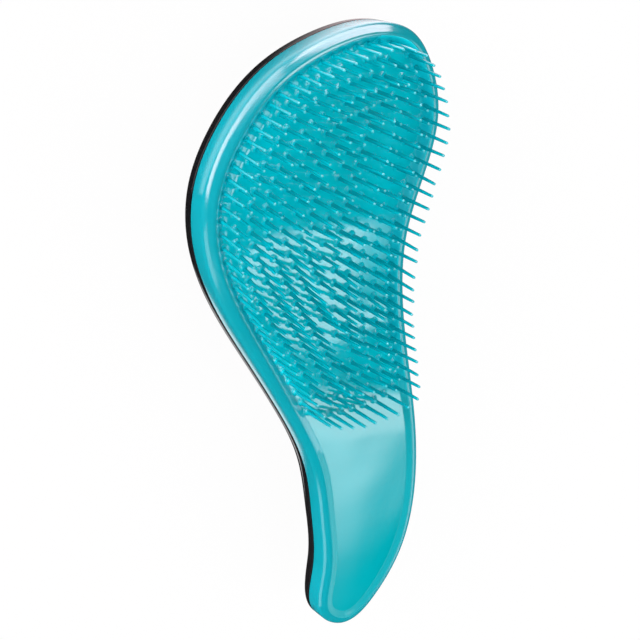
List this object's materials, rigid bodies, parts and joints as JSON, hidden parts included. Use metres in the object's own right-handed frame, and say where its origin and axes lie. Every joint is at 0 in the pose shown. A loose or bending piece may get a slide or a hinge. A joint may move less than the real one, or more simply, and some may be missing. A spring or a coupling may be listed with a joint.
{
  "type": "pet grooming brush",
  "caption": "Comma-shaped detangling brush for pets: a glossy teal front with a recessed field of moulded bristles, snapped onto a glossy black back shell.",
  "frame": {"origin": "centre of the bounding box in plan, on the table that the brush lies on with its bristles up", "axes": "+Y from the handle to the head, +Z from the back shell to the bristle tips, +X to the hollow side of the comma's head"},
  "size_m": [0.0788, 0.1858, 0.0348],
  "materials": {
    "front": "high gloss teal, moulded",
    "bristles": "gloss teal, moulded and slightly flexible",
    "back": "high gloss black, moulded"
  },
  "bodies": {
    "root": {"front_shell": "front", "bristle_plate": "bristles", "back_shell": "back"}
  },
  "joints": []
}
